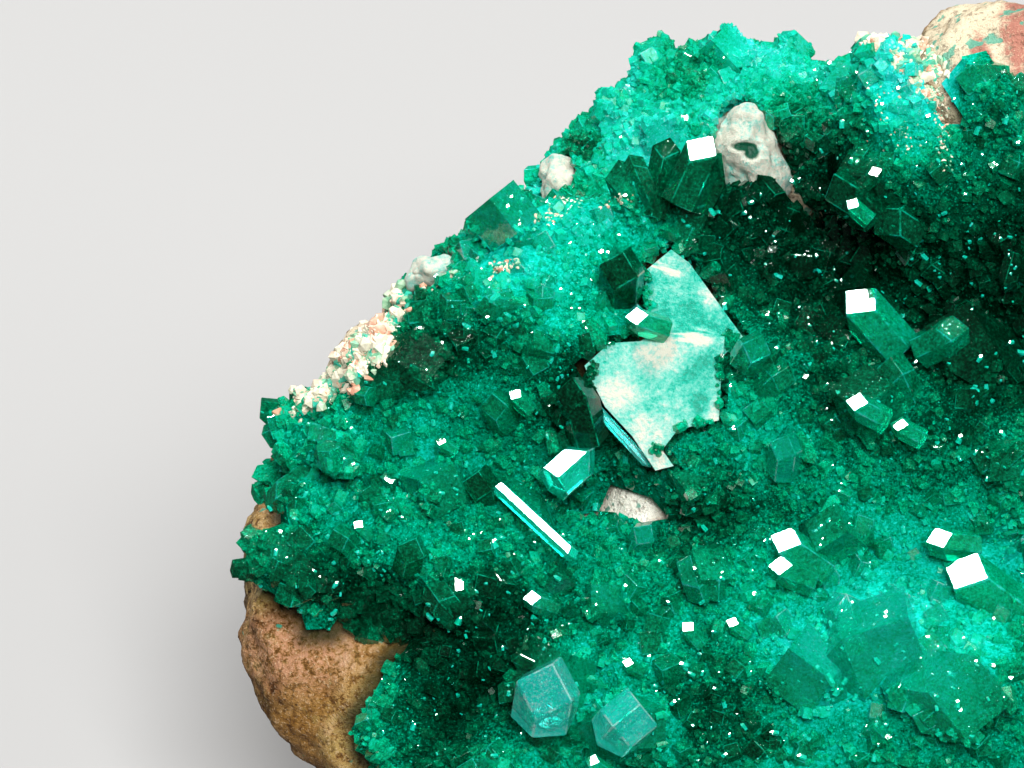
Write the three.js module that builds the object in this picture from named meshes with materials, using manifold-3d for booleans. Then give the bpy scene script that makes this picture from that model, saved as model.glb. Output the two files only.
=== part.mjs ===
// Dioptase on matrix: a hand specimen about 50 mm wide. A broken lump of brown dolomite rock with a
// flat base carries a crust of intergrown dioptase crystals over its top and front. A second crust
// covers the ridge behind a trench, and white calcite stands in gaps between the crystals.
//
// Millimetres. +X is to the right along the specimen, +Y to its back and +Z up, with Z = 0 on the
// flat base. The last lines move the whole specimen so that its origin is the middle of its plan.
import * as THREE from "three";
import { ImprovedNoise } from "three/addons/math/ImprovedNoise.js";
import { MeshSurfaceSampler } from "three/addons/math/MeshSurfaceSampler.js";
import { mergeVertices } from "three/addons/utils/BufferGeometryUtils.js";
import Module from "manifold-3d";

const wasm = await Module();
wasm.setup();

// ---- Driving dimensions -------------------------------------------------------------------------

const CRUST = 1.7; // thickness of the crystal crust over the rock
const CLEARANCE = 0.35; // air between two pieces that meet
const LEAN = 0.7; // how far a small crystal may lean, as the tangent of the angle
const FAR = 60; // further than any part of the specimen is from its display face
const BARE_DEPTH = -1.2; // how far below the rock the crust's outer surface runs where no crust grows
const RIM_WIDTH = 1.4; // over this distance the crust rises from its edge to its full thickness
const RIM_SHARE = 0.6; // the crust's thickness at that edge, as a share of its full thickness
const EDGE_WANDER = { height: 1.3, width: 3.1 }; // how the crust's lower edge wanders up and down
const CRUST_SWELL = { share: 0.3, width: 4.3 }; // how its thickness varies from place to place
const BUMPS = [
  // the rock's swells and lumps: how high and how wide they are
  { height: 1.5, width: 6.5 },
  { height: 0.8, width: 2.6 },
];
const FLATTEST = 0.78; // how deep a flat may cut into a mass, as a share of its radius
const ROUNDEST = 0.96; // and how shallow
const FLAT_STRAY = 0.45; // how far a flat strays from an even spread, as the tangent of the angle
const GRAZING = 0.1; // a plane met at less than this, as a sine, doesn't cut a mass
const FINEST = 0.12; // detail finer than this is left out

// The display face looks up at this angle from the front. Places on it are given across (to the
// right) and up from a point in its middle.
const DISPLAY_TILT = 40;
const DISPLAY_MIDDLE = new THREE.Vector3(-12.5, -1, 24);

function mass(name, centre, radii, shape) {
  return { name, centre, radii, ...shape };
}

// The rock is a cluster of swelling masses: the middle of each, its three radii, how its long axis
// turns (yaw, about Z) and rises (pitch), how finely it is divided, its number of flats and its seed.
const MASSES = [
  mass("trunk", [3, 0, 8.5], [22, 18, 16], { detail: 4, flats: 18, seed: 5 }),
  mass("heel", [-16.8, -4.4, 11.4], [10.4, 9, 10], { detail: 3, flats: 11, seed: 21 }),
  mass("crest", [-9.2, 2.4, 19.8], [15, 6.4, 9.6], { yaw: 12, pitch: 16, detail: 3, flats: 14, seed: 32 }),
  mass("breast", [3.5, -2, 17.5], [13.5, 9.6, 9.6], { detail: 3, flats: 13, seed: 47 }),
  mass("web", [-8.5, -5.5, 12], [9, 8.5, 8], { detail: 2, flats: 10, seed: 51 }),
  mass("shoulder", [13, 7.5, 23.4], [11.5, 9, 18], { yaw: 10, detail: 3, flats: 13, seed: 58 }),
  mass("apron", [7.5, -9.5, 10.5], [16, 12, 10.6], { detail: 3, flats: 13, seed: 63 }),
  mass("lip", [-10, -9.5, 8.6], [9.4, 7.6, 8.2], { detail: 2, flats: 10, seed: 74 }),
  mass("end", [17, -1, 14], [10.5, 12, 11.5], { detail: 2, flats: 10, seed: 85 }),
  mass("rim", [-18.7, 1.3, 22.7], [4.4, 1.8, 2.2], { yaw: 21, pitch: 49, detail: 1, flats: 9, seed: 105 }),
  mass("ridge", [-0.2, 13.8, 16.8], [13, 6.6, 13], { yaw: 12, pitch: 14, detail: 3, flats: 12, seed: 96 }),
];
const RIDGE = "ridge";

// Flat breaks where the lump was split from the rock: the way each faces, and its distance from a
// point on the specimen's axis.
const BREAK_CENTRE = new THREE.Vector3(0, 0, 14);
const BREAKS = [
  { facing: [0.05, 1, -0.12], distance: 17.2 },
  { facing: [-0.62, 0.78, -0.1], distance: 17.6 },
  { facing: [0.75, 0.62, -0.18], distance: 21.5 },
  { facing: [1, -0.12, 0.05], distance: 24 },
  { facing: [0.72, -0.2, -0.66], distance: 21 },
  { facing: [0.1, 0.68, -0.72], distance: 18.6 },
  { facing: [-0.8, -0.1, -0.59], distance: 20.4 },
  { facing: [-0.45, -0.62, -0.64], distance: 22.4 },
  { facing: [0.2, -0.72, -0.68], distance: 19.6 },
  { facing: [-1, -0.22, 0.12], distance: 26.3 },
  { facing: [0.55, 0.5, 0.66], distance: 26.4 },
  { facing: [0.2, 0.15, 1], distance: 27.2 },
];
const BREAK_RIM = 1.6; // crystals stop this far short of a break

// The lowest height at which crystals grow, by azimuth round the specimen (0 is +X, 90 is +Y).
const GROWTH_LINE = [
  [0, 9], [45, 17], [80, 27], [115, 21.5], [150, 19], [172, 19.5], [188, 19.5], [194, 16.4], [202, 17.3],
  [208, 17.3], [212.4, 15], [215, 11.4], [221, 5.5], [270, 4.5], [320, 5.5], [361, 9],
];

// Windows in the crust, on the display face: where, half-width, half-height and turn.
const WINDOWS = [
  { across: 4.9, up: -5.4, wide: 1.2, high: 1.4, turn: 0 }, // bare rock below the plate
  { across: -7.4, up: 1.9, wide: 1.4, high: 3.6, turn: 46 }, // bare rim on the left
  { across: 21.6, up: 15.6, wide: 2.6, high: 4.6, turn: 10 }, // bare rock on the shoulder
];

// Calcite. The plate is two cleavage plates grown into one, each with its outline on the display face.
// A plate's face stands out from that face by so much at its middle, and falls back as it goes up and
// comes forward as it goes to the right.
const PLATES = [
  {
    outline: [
      [3.2, 0.8], [4.3, 1.8], [5.7, 1.9], [6.7, 2.5], [9.4, 2.1], [9.2, 0], [9.1, -1.6], [7.3, -2],
      [6.6, -2.9], [7.1, -3.6], [6.3, -3.8], [5.3, -2.3], [4.1, -1],
    ],
    face: { middle: [6.4, -0.8], stands: 4.9, back: 0.3, right: 0.06 },
  },
  {
    outline: [[6, 5.1], [7.1, 6], [7.9, 5.4], [9.5, 3.1], [10.2, 2.1], [9.3, 1.2], [6.2, 1.6], [5.9, 4.1]],
    face: { middle: [8.2, 3.2], stands: 3.1, back: 0.42, right: 0.2 },
  },
];
const PLATE_DEPTH = 7; // how deep it reaches in under the crust
const PLATE_MIDDLE = { across: 6.8, up: 0.8 };
const CALCITE_LUMPS = [
  mass("calcite_ridge", [-1.6, 10.2, 28], [2, 2.2, 3.2], { detail: 1, flats: 12, seed: 131 }),
  mass("calcite_knob", [-10.2, 11.9, 25.2], [1.3, 1.4, 1.2], { detail: 1, flats: 9, seed: 132 }),
  mass("calcite_rim", [-16.1, 2.5, 27.1], [1.6, 1.4, 1.4], { detail: 1, flats: 9, seed: 133 }),
];
const CALCITE_ROOM = 4; // other crystals stand at least this far from the middle of a piece of calcite

// Large crystals on the display face: where, width, length, how they lean (clockwise from up) and
// how far they stand out of the face, in degrees.
const LARGE_CRYSTALS = [
  { across: 5.7, up: 7.7, width: 1.8, length: 5.2, lean: -22, out: 14 },
  { across: 6.8, up: 7.8, width: 1.7, length: 6, lean: 2, out: 0 },
  { across: 7.8, up: 7.4, width: 2.6, length: 7, lean: 28, out: 18 },
  { across: 4.9, up: 4.9, width: 2.3, length: 3, lean: 10, out: 62 },
  { across: 2.5, up: -3, width: 1.6, length: 3, lean: -20, out: 50 },
  { across: 3, up: -0.8, width: 2.5, length: 3.4, lean: 20, out: 52 },
  { across: 0.2, up: -5.2, width: 1.9, length: 4.4, lean: 125, out: 22 },
  { across: 15.7, up: 3.8, width: 3.2, length: 3.6, lean: -6, out: 72 },
  { across: 10.9, up: 1, width: 2.1, length: 3, lean: 60, out: 50 },
  { across: 12.3, up: -3, width: 1.9, length: 3, lean: -10, out: 62 },
  { across: 19.7, up: 1.6, width: 3.8, length: 5, lean: -62, out: 40 },
  { across: -9.2, up: -8.4, width: 3, length: 4.4, lean: 118, out: 30 },
  { across: -4.6, up: 0.8, width: 3, length: 4.6, lean: 72, out: 28 },
  { across: 16.2, up: 9, width: 3, length: 4.4, lean: -84, out: 26 },
  { across: 21.4, up: 12, width: 3.4, length: 4.6, lean: 150, out: 34 },
  { across: 16, up: -11.4, width: 5, length: 6.2, lean: 36, out: 56 },
  { across: 19.4, up: -13.4, width: 4.2, length: 5.6, lean: 96, out: 44 },
  { across: 13, up: -12.6, width: 3.8, length: 5, lean: -42, out: 50 },
  { across: 1.8, up: -13, width: 3.8, length: 5, lean: 16, out: 58 },
  { across: 5.4, up: -14.8, width: 3.2, length: 4.6, lean: 62, out: 50 },
  { across: 4.2, up: -9.7, width: 2, length: 3.2, lean: -40, out: 44 },
];

// Crystals elsewhere on a crust: how far apart their roots are, and their least and most width.
const MAIN_GROWTH = { spacing: 4.4, widths: [2, 3.4], seed: 29 };
const RIDGE_GROWTH = { spacing: 3.6, widths: [1.8, 2.8], seed: 8 };
const TRIES = 1500; // places tried for them
const SUNK = 0.5; // the share of a crystal's length that lies in the crust
const LONGEST = 1.6; // a crystal's greatest and least length, in widths
const SHORTEST = 1.3;
const MOSTLY_SMALL = 1.6; // the higher, the more of the crystals have near the least width

// ---- Chance, from fixed seeds ---------------------------------------------------------------------

function randomFrom(seed) {
  let state = seed >>> 0;
  return () => {
    state = (state + 0x6d2b79f5) >>> 0;
    let mixed = Math.imul(state ^ (state >>> 15), state | 1);
    mixed ^= mixed + Math.imul(mixed ^ (mixed >>> 7), mixed | 61);
    return ((mixed ^ (mixed >>> 14)) >>> 0) / 2 ** 32;
  };
}

const perlin = new ImprovedNoise();

function noiseAt(point, width, offset = 0) {
  return perlin.noise(point.x / width + offset, point.y / width + offset, point.z / width + offset);
}

// Directions spread evenly over a sphere, on a golden-angle spiral.
function evenDirections(count) {
  const goldenAngle = Math.PI * (3 - Math.sqrt(5));
  return Array.from({ length: count }, (_, i) => {
    const z = 1 - (2 * i + 1) / count;
    const ring = Math.sqrt(1 - z * z);
    return new THREE.Vector3(ring * Math.cos(goldenAngle * i), ring * Math.sin(goldenAngle * i), z);
  });
}

function randomDirection(random) {
  const z = 2 * random() - 1;
  const angle = 2 * Math.PI * random();
  const ring = Math.sqrt(1 - z * z);
  return new THREE.Vector3(ring * Math.cos(angle), ring * Math.sin(angle), z);
}

// ---- Solids ----------------------------------------------------------------------------------------

function solidOf(geometry) {
  const bare = new THREE.BufferGeometry();
  bare.setAttribute("position", geometry.getAttribute("position"));
  bare.setIndex(geometry.index);
  const merged = mergeVertices(bare, 1e-4);
  return new wasm.Manifold(
    new wasm.Mesh({
      numProp: 3,
      vertProperties: new Float32Array(merged.getAttribute("position").array),
      triVerts: new Uint32Array(merged.index.array),
    }),
  );
}

// The largest body of a solid, without the slivers that a cut leaves beside it or on it.
function largestBody(solid) {
  const [largest] = solid.simplify(FINEST).decompose().sort((a, b) => b.volume() - a.volume());
  return largest.simplify(FINEST);
}

function geometryOf(solid) {
  const { vertProperties, triVerts } = solid.getMesh();
  const geometry = new THREE.BufferGeometry();
  geometry.setAttribute("position", new THREE.BufferAttribute(vertProperties, 3));
  geometry.setIndex(new THREE.BufferAttribute(triVerts, 1));
  geometry.computeVertexNormals();
  return geometry;
}

// ---- The display face ------------------------------------------------------------------------------

const displayTilt = THREE.MathUtils.degToRad(DISPLAY_TILT);
const DISPLAY_ACROSS = new THREE.Vector3(1, 0, 0);
const DISPLAY_UP = new THREE.Vector3(0, Math.sin(displayTilt), Math.cos(displayTilt));
const DISPLAY_OUT = new THREE.Vector3().crossVectors(DISPLAY_ACROSS, DISPLAY_UP);

function displayPlace(point) {
  const offset = point.clone().sub(DISPLAY_MIDDLE);
  return { across: offset.dot(DISPLAY_ACROSS), up: offset.dot(DISPLAY_UP) };
}

function displayPoint(across, up, out) {
  return DISPLAY_MIDDLE.clone()
    .addScaledVector(DISPLAY_ACROSS, across)
    .addScaledVector(DISPLAY_UP, up)
    .addScaledVector(DISPLAY_OUT, out);
}

// ---- Rock masses -----------------------------------------------------------------------------------

const breakPlanes = BREAKS.map(({ facing, distance }) => {
  const outward = new THREE.Vector3(...facing).normalize();
  return { outward, offset: outward.dot(BREAK_CENTRE) + distance };
});

// A mass is an ellipsoid cut by flats and by the breaks, and then swollen by the bumps. It gives its
// surface point in a direction, raised by a height along the outward normal and never below the base.
function makeMass({ name, centre, radii, yaw = 0, pitch = 0, detail, flats, seed }) {
  const random = randomFrom(seed);
  const middle = new THREE.Vector3(...centre);
  const size = new THREE.Vector3(...radii);
  const turn = new THREE.Quaternion().setFromEuler(
    new THREE.Euler(0, -THREE.MathUtils.degToRad(pitch), THREE.MathUtils.degToRad(yaw), "ZYX"),
  );
  const planes = evenDirections(flats).map((direction) => ({
    normal: direction.addScaledVector(randomDirection(random), FLAT_STRAY).normalize(),
    distance: THREE.MathUtils.lerp(FLATTEST, ROUNDEST, random()),
  }));
  const surfacePoint = (direction, raise) => {
    const reach = direction.clone().multiply(size).applyQuaternion(turn);
    let share = 1; // of the full radius in this direction
    for (const { normal, distance } of planes) {
      const facing = normal.dot(direction);
      if (facing > GRAZING) share = Math.min(share, distance / facing);
    }
    for (const { outward, offset } of breakPlanes) {
      const facing = outward.dot(reach);
      if (facing > GRAZING) share = Math.min(share, (offset - outward.dot(middle)) / facing);
    }
    const point = reach.multiplyScalar(share).add(middle);
    const outward = direction.clone().divide(size).normalize().applyQuaternion(turn);
    const bump = BUMPS.reduce((sum, { height, width }) => sum + height * noiseAt(point, width), 0);
    point.addScaledVector(outward, bump).addScaledVector(outward, raise(point));
    point.z = Math.max(point.z, 0);
    return point;
  };
  return { name, middle, detail, surfacePoint };
}

function massSolid({ detail, surfacePoint }, raise = () => 0) {
  const geometry = new THREE.IcosahedronGeometry(1, detail);
  const position = geometry.getAttribute("position");
  for (let i = 0; i < position.count; i++) {
    const direction = new THREE.Vector3().fromBufferAttribute(position, i).normalize();
    position.setXYZ(i, ...surfacePoint(direction, raise));
  }
  return solidOf(geometry);
}

function massesSolid(list, raise) {
  return wasm.Manifold.union(list.map((each) => massSolid(each, raise))).simplify(FINEST);
}

// ---- Where the crust grows -------------------------------------------------------------------------

function growthHeight(point) {
  const degrees = THREE.MathUtils.radToDeg(Math.atan2(point.y, point.x));
  const azimuth = THREE.MathUtils.euclideanModulo(degrees, 360);
  const next = GROWTH_LINE.findIndex(([angle]) => angle > azimuth);
  const [fromAngle, fromHeight] = GROWTH_LINE[next - 1];
  const [toAngle, toHeight] = GROWTH_LINE[next];
  return THREE.MathUtils.mapLinear(azimuth, fromAngle, toAngle, fromHeight, toHeight);
}

// How far a point is outside a window, in millimetres, and negative inside it.
function outsideWindow(point, { across, up, wide, high, turn }) {
  const place = displayPlace(point);
  const angle = THREE.MathUtils.degToRad(turn);
  const dx = place.across - across;
  const dy = place.up - up;
  const x = (dx * Math.cos(angle) - dy * Math.sin(angle)) / wide;
  const y = (dx * Math.sin(angle) + dy * Math.cos(angle)) / high;
  return (Math.hypot(x, y) - 1) * Math.min(wide, high);
}

// How far inside the crust's outline a point lies, in millimetres, and negative on bare rock.
function cover(point) {
  const wander = EDGE_WANDER.height * noiseAt(point, EDGE_WANDER.width, 7);
  const aboveEdge = point.z - growthHeight(point) + wander;
  const beforeBreaks = breakPlanes.map(({ outward, offset }) => offset - BREAK_RIM - outward.dot(point));
  return Math.min(aboveEdge, ...beforeBreaks, ...WINDOWS.map((window) => outsideWindow(point, window)));
}

function crustHeight(point) {
  const share = THREE.MathUtils.clamp(cover(point) / RIM_WIDTH, 0, 1);
  if (share === 0) return BARE_DEPTH;
  const swell = 1 + CRUST_SWELL.share * noiseAt(point, CRUST_SWELL.width, 3);
  return CRUST * THREE.MathUtils.lerp(RIM_SHARE, 1, share) * swell;
}

// ---- Crystals --------------------------------------------------------------------------------------

// A dioptase crystal stands on the origin along +Z: a six-sided prism whose free end has three square
// faces that meet in a point, as at the corner of a cube.
function crystalGeometry(width, length) {
  const ringRise = width * Math.SQRT2 / 4; // between the ring's low and high corners, and up to the point
  const sides = 6;
  const points = [];
  for (let level = 0; level < 2; level++) {
    for (let i = 0; i < sides; i++) {
      const angle = (i * 2 * Math.PI) / sides;
      const height = level * (length - ringRise * (i % 2 ? 1 : 2));
      points.push([(Math.cos(angle) * width) / 2, (Math.sin(angle) * width) / 2, height]);
    }
  }
  const apex = points.push([0, 0, length]) - 1;
  const triangles = [];
  for (let i = 0; i < sides; i++) {
    const next = (i + 1) % sides;
    triangles.push([i, next, sides + next], [i, sides + next, sides + i], [sides + i, sides + next, apex]);
  }
  for (let i = 1; i < sides - 1; i++) triangles.push([0, i + 1, i]);
  const geometry = new THREE.BufferGeometry();
  geometry.setAttribute("position", new THREE.Float32BufferAttribute(points.flat(), 3));
  geometry.setIndex(triangles.flat());
  return geometry;
}

// A crystal through a place on the crust, along an axis and spun about it.
function crystalSolid({ place, axis, spin, width, length }) {
  const up = new THREE.Vector3(0, 0, 1);
  const turn = new THREE.Quaternion().setFromUnitVectors(up, axis);
  turn.multiply(new THREE.Quaternion().setFromAxisAngle(up, spin));
  const root = place.clone().addScaledVector(axis, -length * SUNK);
  const seat = new THREE.Matrix4().compose(root, turn, new THREE.Vector3(1, 1, 1));
  return solidOf(crystalGeometry(width, length).applyMatrix4(seat));
}

// The large crystals, each where a line along the display direction meets the crust.
function largeCrystals(bedMesh) {
  const sight = DISPLAY_OUT.clone().negate();
  return LARGE_CRYSTALS.flatMap(({ across, up, width, length, lean, out }, i) => {
    const [hit] = new THREE.Raycaster(displayPoint(across, up, FAR), sight).intersectObject(bedMesh);
    if (!hit) return [];
    const leaning = THREE.MathUtils.degToRad(lean);
    const standing = THREE.MathUtils.degToRad(out);
    const axis = DISPLAY_OUT.clone()
      .multiplyScalar(Math.sin(standing))
      .addScaledVector(DISPLAY_ACROSS, Math.cos(standing) * Math.sin(leaning))
      .addScaledVector(DISPLAY_UP, Math.cos(standing) * Math.cos(leaning));
    return [{ place: hit.point, axis, spin: i, width, length }];
  });
}

// Smaller crystals over the rest of a crust, apart from each other, from the taken ones and from the
// calcite.
function smallCrystals(bedMesh, { spacing, widths, seed }, taken) {
  const random = randomFrom(seed);
  const sampler = new MeshSurfaceSampler(bedMesh).setRandomGenerator(random).build();
  const place = new THREE.Vector3();
  const normal = new THREE.Vector3();
  const crystals = [...taken];
  for (let i = 0; i < TRIES; i++) {
    sampler.sample(place, normal);
    const axis = normal.clone().addScaledVector(randomDirection(random), LEAN).normalize();
    const width = THREE.MathUtils.lerp(...widths, random() ** MOSTLY_SMALL);
    const length = width * THREE.MathUtils.lerp(SHORTEST, LONGEST, random());
    const spin = random() * Math.PI;
    const room = (other) => (spacing / 2) * (1 + other.width / widths[1]);
    const isFree = crystals.every((other) => other.place.distanceTo(place) > room(other));
    if (isFree && cover(place) > RIM_WIDTH && nearestCalcite(place) > CALCITE_ROOM) {
      crystals.push({ place: place.clone(), axis, spin, width, length });
    }
  }
  return crystals;
}

// ---- Calcite ---------------------------------------------------------------------------------------

// One cleavage plate, or the room that it takes when grown by a margin.
function cleavagePlate({ outline, face }, margin) {
  const shape = new THREE.Shape(outline.map(([across, up]) => new THREE.Vector2(across, up)));
  const bevel = { bevelEnabled: margin > 0, bevelSize: margin, bevelThickness: margin, bevelSegments: 1 };
  const geometry = new THREE.ExtrudeGeometry(shape, { depth: 2 * PLATE_DEPTH, ...bevel });
  const seat = new THREE.Matrix4().makeBasis(DISPLAY_ACROSS, DISPLAY_UP, DISPLAY_OUT);
  seat.setPosition(displayPoint(0, 0, face.stands - PLATE_DEPTH));
  const outward = DISPLAY_OUT.clone().addScaledVector(DISPLAY_UP, face.back);
  outward.addScaledVector(DISPLAY_ACROSS, -face.right).normalize();
  const facePoint = displayPoint(...face.middle, face.stands + margin);
  const inward = outward.clone().negate();
  return solidOf(geometry.applyMatrix4(seat)).trimByPlane(inward.toArray(), inward.dot(facePoint));
}

function plateSolid(margin = 0) {
  return wasm.Manifold.union(PLATES.map((plate) => cleavagePlate(plate, margin)));
}

const lumps = CALCITE_LUMPS.map(makeMass);

// How far a place on a crust is from the middle of the nearest piece of calcite.
function nearestCalcite(place) {
  const { across, up } = displayPlace(place);
  const fromPlate = Math.hypot(across - PLATE_MIDDLE.across, up - PLATE_MIDDLE.up);
  return Math.min(fromPlate, ...lumps.map((lump) => lump.middle.distanceTo(place)));
}

// ---- Pieces ----------------------------------------------------------------------------------------

const bodyMasses = MASSES.filter(({ name }) => name !== RIDGE).map(makeMass);
const ridgeMasses = MASSES.filter(({ name }) => name === RIDGE).map(makeMass);
const allMasses = [...bodyMasses, ...ridgeMasses];

const rock = largestBody(massesSolid(allMasses));
const rockRoom = massesSolid(allMasses, () => CLEARANCE);
const calciteRoom = wasm.Manifold.union([
  plateSolid(CLEARANCE),
  ...lumps.map((lump) => massSolid(lump, () => CLEARANCE)),
]);

// A crust over some of the masses, joined with its crystals. It still fills the masses' inside.
function crustOver(list, growth, large) {
  const bed = massesSolid(list, crustHeight);
  const bedMesh = new THREE.Mesh(geometryOf(bed));
  const crystals = smallCrystals(bedMesh, growth, large ? largeCrystals(bedMesh) : []);
  return wasm.Manifold.union([bed, ...crystals.map(crystalSolid)]);
}

const druse = largestBody(
  crustOver(bodyMasses, MAIN_GROWTH, true).subtract(rockRoom).subtract(calciteRoom),
);
const bodyRoom = massesSolid(bodyMasses, (point) => crustHeight(point) + CLEARANCE);
const ridgeDruse = largestBody(
  crustOver(ridgeMasses, RIDGE_GROWTH, false)
    .subtract(wasm.Manifold.union([rockRoom, calciteRoom, bodyRoom, druse])),
);

const rockMaterial = new THREE.MeshStandardMaterial({ color: 0x9a6f52, roughness: 0.9, metalness: 0 });
const dioptaseMaterial = new THREE.MeshStandardMaterial({ color: 0x00805c, roughness: 0.15, metalness: 0 });
const calciteMaterial = new THREE.MeshStandardMaterial({ color: 0xe9e6dc, roughness: 0.35, metalness: 0 });

const specimen = new THREE.Group();

function addPiece(name, solid, material) {
  const mesh = new THREE.Mesh(geometryOf(solid), material);
  mesh.name = name;
  specimen.add(mesh);
}

addPiece("matrix", rock, rockMaterial);
addPiece("dioptase_druse", druse, dioptaseMaterial);
addPiece("dioptase_ridge", ridgeDruse, dioptaseMaterial);
addPiece("calcite_plate", largestBody(plateSolid().subtract(rockRoom)), calciteMaterial);
for (const lump of lumps) {
  addPiece(lump.name, largestBody(massSolid(lump).subtract(rockRoom)), calciteMaterial);
}

// The specimen moves so that the middle of its plan is the origin.
const middle = new THREE.Box3().setFromObject(specimen).getCenter(new THREE.Vector3());
specimen.position.set(-middle.x, -middle.y, 0);
const group = new THREE.Group();
group.add(specimen);

export default group;
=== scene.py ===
from math import cos, pi, radians, sin

import bpy
import numpy as np
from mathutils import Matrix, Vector, noise
from mathutils.bvhtree import BVHTree


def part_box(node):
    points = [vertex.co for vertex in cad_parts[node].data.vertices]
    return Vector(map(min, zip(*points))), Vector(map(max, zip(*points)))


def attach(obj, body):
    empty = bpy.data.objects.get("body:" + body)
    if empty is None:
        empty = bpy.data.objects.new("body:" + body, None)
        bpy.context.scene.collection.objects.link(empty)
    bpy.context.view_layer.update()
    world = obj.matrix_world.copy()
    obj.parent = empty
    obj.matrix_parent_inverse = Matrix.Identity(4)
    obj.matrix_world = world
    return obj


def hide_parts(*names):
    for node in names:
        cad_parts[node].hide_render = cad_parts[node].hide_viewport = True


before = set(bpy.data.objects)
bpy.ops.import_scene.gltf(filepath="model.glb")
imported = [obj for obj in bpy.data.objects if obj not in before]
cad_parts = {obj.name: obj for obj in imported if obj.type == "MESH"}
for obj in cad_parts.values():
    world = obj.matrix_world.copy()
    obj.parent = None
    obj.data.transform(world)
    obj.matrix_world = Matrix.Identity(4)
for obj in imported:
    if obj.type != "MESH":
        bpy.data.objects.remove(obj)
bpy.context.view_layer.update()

# ---- The display face and the camera ----------------------------------------------------------------
# The specimen is looked at from the front and above. Its display face is square to that view, and
# places on it are given in millimetres across (to the right) and up from its middle.

MM = 0.001
DISPLAY_TILT = radians(40)
MIDDLE_FROM_PLATE = Vector((-6.7, 1.469, -2.18)) * MM  # from the middle of the calcite plate
ACROSS = Vector((1, 0, 0))
UP = Vector((0, sin(DISPLAY_TILT), cos(DISPLAY_TILT)))
OUT = ACROSS.cross(UP)
plate_low, plate_high = (Vector(corner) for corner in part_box("calcite_plate"))
display_middle = (plate_low + plate_high) / 2 + MIDDLE_FROM_PLATE

VIEW_DISTANCE = 260 * MM
VIEW_WIDTH = 46 * MM

bpy.ops.object.select_all(action="DESELECT")
bpy.ops.object.camera_add(location=display_middle + OUT * VIEW_DISTANCE)
camera = bpy.context.object
camera.rotation_mode = "QUATERNION"
camera.rotation_quaternion = (-OUT).to_track_quat("-Z", "Y")
camera.data.sensor_width = 36
camera.data.lens = camera.data.sensor_width * VIEW_DISTANCE / VIEW_WIDTH
camera.data.clip_start, camera.data.clip_end = 0.01, 10
bpy.context.scene.camera = camera

# ---- Matrix -----------------------------------------------------------------------------------------
# The matrix is a lump of fine-grained dolomite, broken from its vein and stained pinkish brown, ochre
# and olive by iron. Its flat base is the face that the specimen stands on.

ROCK_VOXEL = 0.3 * MM
# The name, width and depth of each size of swell on the broken rock.
ROCK_SWELLS = [
    ("swells", 3.6 * MM, 0.55 * MM), ("lumps", 1.5 * MM, 0.32 * MM), ("grit", 0.6 * MM, 0.14 * MM),
]
BASE_FADE = 1.2 * MM  # the swells fade out over this height above the base
UNDER_CRUST = 2 * MM  # rock nearer than this to a crust keeps its plain surface

# Stains: the middle and radii of each on the display face, in millimetres.
CREAM_STAINS = [(21.3, 15, 3.2, 5), (4.6, -5.4, 2.2, 2.6), (-7.3, 1.6, 5, 5), (11, 9.5, 4, 3)]
WHITE_STAINS = [(5.4, -5.4, 1.6, 1.3)]
RED_STAINS = [
    (22.6, 15.6, 1, 3), (20.6, 14.2, 0.5, 1.4), (-7.2, 1, 0.8, 0.5), (-8.4, -0.2, 0.6, 0.4),
]
YELLOW_STAINS = [
    (-12.5, -6.6, 1.1, 2.4), (-11.7, -8.7, 1.6, 1.2), (-6.3, -15.8, 1.5, 2.6), (-3.2, -16.8, 1.2, 0.8),
]
PINK_STAINS = [(-9.6, -11.8, 2.6, 1.7), (-13.2, -9.4, 1, 2.2), (22.6, 14.6, 1.2, 3.4)]
PATCH_EDGE = 1.5  # a patch fades out from half a radius inside its edge to this many radii
PAINTED_SHADE_REACH = 1.3 * MM  # how far from the crust painted shade darkens the rock, as under the crust's edge

ROCK_BROWNS = [
    (0.40, (0.08, 0.030, 0.007)), (0.47, (0.17, 0.078, 0.015)), (0.53, (0.25, 0.13, 0.034)),
    (0.62, (0.42, 0.27, 0.15)),
]
OLIVE, PINK, OCHRE = (0.27, 0.19, 0.055, 1), (0.47, 0.24, 0.15, 1), (0.52, 0.38, 0.14, 1)
CREAM, ROSE, CHALK = (0.53, 0.46, 0.32, 1), (0.26, 0.06, 0.045, 1), (0.9, 0.88, 0.78, 1)
PALE_FLECK, DARK_FLECK = (0.60, 0.43, 0.26, 1), (0.05, 0.02, 0.008, 1)
# The last colour is painted shade, laid on the rock close under the crust's edge.
TEAL_FLECK, PAINTED_SHADE = (0.02, 0.26, 0.18, 1), (0.012, 0.02, 0.008, 1)


class Channel:
    """A number or colour that changes over a surface. Python's operators on it add Math nodes."""

    def __init__(self, finish, socket):
        self.finish, self.socket = finish, socket

    def __add__(self, other):
        return self.finish.math("ADD", self, other)

    def __sub__(self, other):
        return self.finish.math("SUBTRACT", self, other)

    def __rsub__(self, other):
        return self.finish.math("SUBTRACT", other, self)

    def __mul__(self, other):
        return self.finish.math("MULTIPLY", self, other)

    __radd__, __rmul__ = __add__, __mul__


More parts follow.
